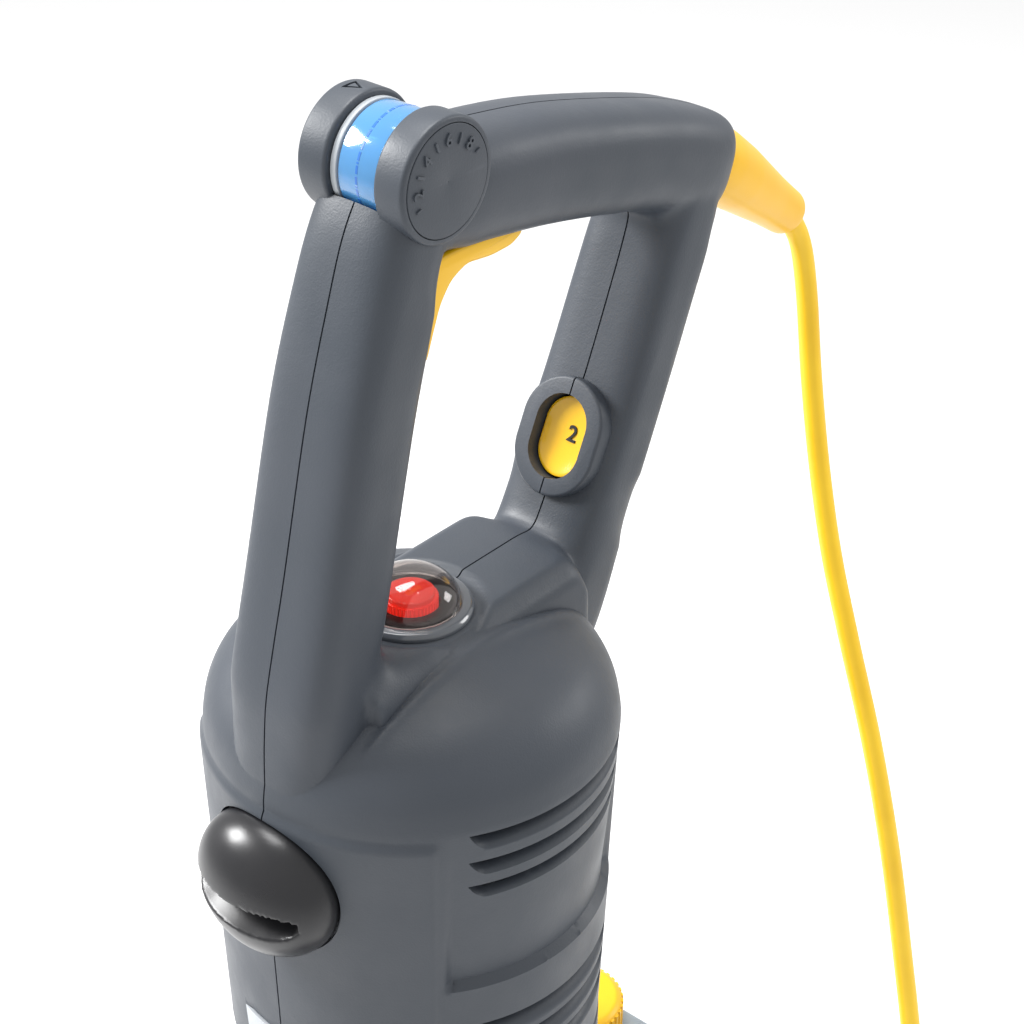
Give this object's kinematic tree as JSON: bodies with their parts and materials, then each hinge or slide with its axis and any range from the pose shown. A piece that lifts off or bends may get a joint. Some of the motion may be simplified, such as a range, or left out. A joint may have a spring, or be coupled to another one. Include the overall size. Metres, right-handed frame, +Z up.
{
  "type": "carpet cleaner machine",
  "caption": "Upright carpet cleaner: loop-handle column with dosing dial, trigger and solution tank on a tilting fork over a twin counter-rotating brush deck.",
  "frame": {"origin": "on the floor under the middle of the machine, column upright on its stop", "axes": "+Z up; +Y towards the user (grip and cord end); -Y is the front of the deck; +X is the belt-cover side"},
  "size_m": [0.424, 0.599, 1.172],
  "materials": {
    "charcoal_shell": "fine grained matte",
    "yellow_plastic": "satin",
    "yellow_gloss": "gloss",
    "yellow_cord": "satin PVC",
    "blue_clear": "translucent gloss",
    "black_satin": "satin",
    "black_plastic": "matte",
    "red_gloss": "lit gloss",
    "clear_dome": "smoky clear",
    "pale_plastic": "satin",
    "tank_plastic": "translucent",
    "steel": "brushed",
    "cast_alloy": "cast",
    "rubber": "matte",
    "board_green": "matte",
    "bristle": "nylon"
  },
  "bodies": {
    "deck": {"chassis": "steel", "deck_hood": "charcoal_shell", "front_bumper": "rubber", "spray_bar": "pale_plastic", "spray_nozzle_1": "yellow_plastic", "spray_nozzle_2": "yellow_plastic", "motor_casing": "cast_alloy", "motor_cap_left": "cast_alloy", "motor_cap_right": "cast_alloy", "drive_belt": "rubber", "belt_cover": "charcoal_shell", "side_cover_left": "charcoal_shell", "wheel_axle": "steel", "pedal_pin": "steel", "power_cord_lower": "yellow_cord", "cord_coil": "yellow_cord", "plug": "black_plastic"},
    "column": {"right_shell": "charcoal_shell", "left_shell": "charcoal_shell", "shell_screw_1": "steel", "shell_screw_2": "steel", "dial_seal_ring": "pale_plastic", "flow_valve": "steel", "trigger_switch": "black_plastic", "trigger_spring": "steel", "dome_ring": "pale_plastic", "dome_cover": "clear_dome", "power_switch_body": "black_plastic", "cord_hook": "black_satin", "badge_plate": "pale_plastic", "fan_motor": "cast_alloy", "control_board": "board_green", "pump": "black_plastic", "solution_hose": "pale_plastic", "tilt_fork": "cast_alloy", "tank_cradle": "black_plastic", "strain_relief": "yellow_plastic", "power_cord_upper": "yellow_cord"},
    "dial": {"dial_wheel": "blue_clear", "dial_axle": "steel", "dial_scale_disc": "charcoal_shell"},
    "trigger": {"trigger": "yellow_plastic"},
    "rocker": {"speed_rocker": "yellow_gloss"},
    "power_button": {"power_button": "red_gloss"},
    "fan": {"fan_wheel": "black_plastic"},
    "tank": {"solution_tank": "tank_plastic"},
    "tank_cap": {"tank_cap": "yellow_plastic"},
    "tank_latch": {"tank_latch": "black_plastic"},
    "rotor": {"motor_rotor": "steel", "motor_pulley": "steel"},
    "brush_front": {"brush_front_core": "black_plastic", "brush_front_bristles": "bristle", "brush_front_pulley": "black_plastic"},
    "brush_rear": {"brush_rear_core": "black_plastic", "brush_rear_bristles": "bristle", "brush_rear_pulley": "black_plastic"},
    "idler": {"idler_pulley": "black_plastic"},
    "wheel_left": {"wheel_left": "rubber"},
    "wheel_right": {"wheel_right": "rubber"},
    "pedal": {"tilt_pedal": "yellow_plastic"}
  },
  "joints": [
    {"name": "column_tilt", "type": "hinge", "parent": "deck", "child": "column", "pos_m": [0, 0.042, 0.205], "axis": [-1, 0, 0], "range_deg": [0, 60]},
    {"name": "dial_turn", "type": "hinge", "parent": "column", "child": "dial", "pos_m": [0, -0.014, 1.15], "axis": [1, 0, 0], "range_deg": [-75, 75]},
    {"name": "trigger_pull", "type": "hinge", "parent": "column", "child": "trigger", "pos_m": [0, -0.012, 1.1], "axis": [1, 0, 0], "range_deg": [0, 8], "stiffness_Nm_per_rad": 0.6, "springref_deg": -14.32, "deforming": ["trigger_spring"]},
    {"name": "rocker_tip", "type": "hinge", "parent": "column", "child": "rocker", "pos_m": [0, 0.0814, 1.0033], "axis": [1, 0, 0], "range_deg": [0, 9]},
    {"name": "power_press", "type": "slide", "parent": "column", "child": "power_button", "axis": [0, 0, -1], "range_m": [0, 0.003], "stiffness_N_per_m": 300, "springref_m": -0.002},
    {"name": "fan_spin", "type": "hinge", "parent": "column", "child": "fan", "pos_m": [0, -0.01, 0.886], "axis": [0, 0, 1], "continuous": true},
    {"name": "tank_tilt", "type": "hinge", "parent": "column", "child": "tank", "pos_m": [0, 0.119, 0.48], "axis": [-1, 0, 0], "range_deg": [0, 15]},
    {"name": "tank_cap_twist", "type": "hinge", "parent": "tank", "child": "tank_cap", "pos_m": [0, 0.0945, 0.691], "axis": [0, 0, 1], "range_deg": [0, 90]},
    {"name": "tank_latch_lift", "type": "slide", "parent": "column", "child": "tank_latch", "axis": [0, 0, 1], "range_m": [0, 0.008], "stiffness_N_per_m": 200, "springref_m": -0.003},
    {"name": "brush_front_spin", "type": "hinge", "parent": "deck", "child": "brush_front", "pos_m": [0, -0.062, 0.048], "axis": [1, 0, 0], "continuous": true},
    {"name": "brush_rear_spin", "type": "hinge", "parent": "deck", "child": "brush_rear", "pos_m": [0, 0.062, 0.048], "axis": [1, 0, 0], "continuous": true},
    {"name": "rotor_spin", "type": "hinge", "parent": "deck", "child": "rotor", "pos_m": [0, 0.042, 0.205], "axis": [1, 0, 0], "continuous": true},
    {"name": "idler_spin", "type": "hinge", "parent": "deck", "child": "idler", "pos_m": [0.191, -0.112, 0.046], "axis": [1, 0, 0], "continuous": true},
    {"name": "wheel_left_spin", "type": "hinge", "parent": "deck", "child": "wheel_left", "pos_m": [-0.197, 0.15, 0.03], "axis": [1, 0, 0], "continuous": true},
    {"name": "wheel_right_spin", "type": "hinge", "parent": "deck", "child": "wheel_right", "pos_m": [0.197, 0.15, 0.03], "axis": [1, 0, 0], "continuous": true},
    {"name": "pedal_press", "type": "hinge", "parent": "deck", "child": "pedal", "pos_m": [-0.11, 0.104, 0.137], "axis": [-1, 0, 0], "range_deg": [0, 12], "stiffness_Nm_per_rad": 2, "springref_deg": -11.46}
  ],
  "couplings": [
    {"joint": "brush_rear_spin", "follows": "brush_front_spin", "ratio": -1},
    {"joint": "rotor_spin", "follows": "brush_front_spin", "ratio": -1.3371},
    {"joint": "idler_spin", "follows": "brush_front_spin", "ratio": -1.7246}
  ]
}
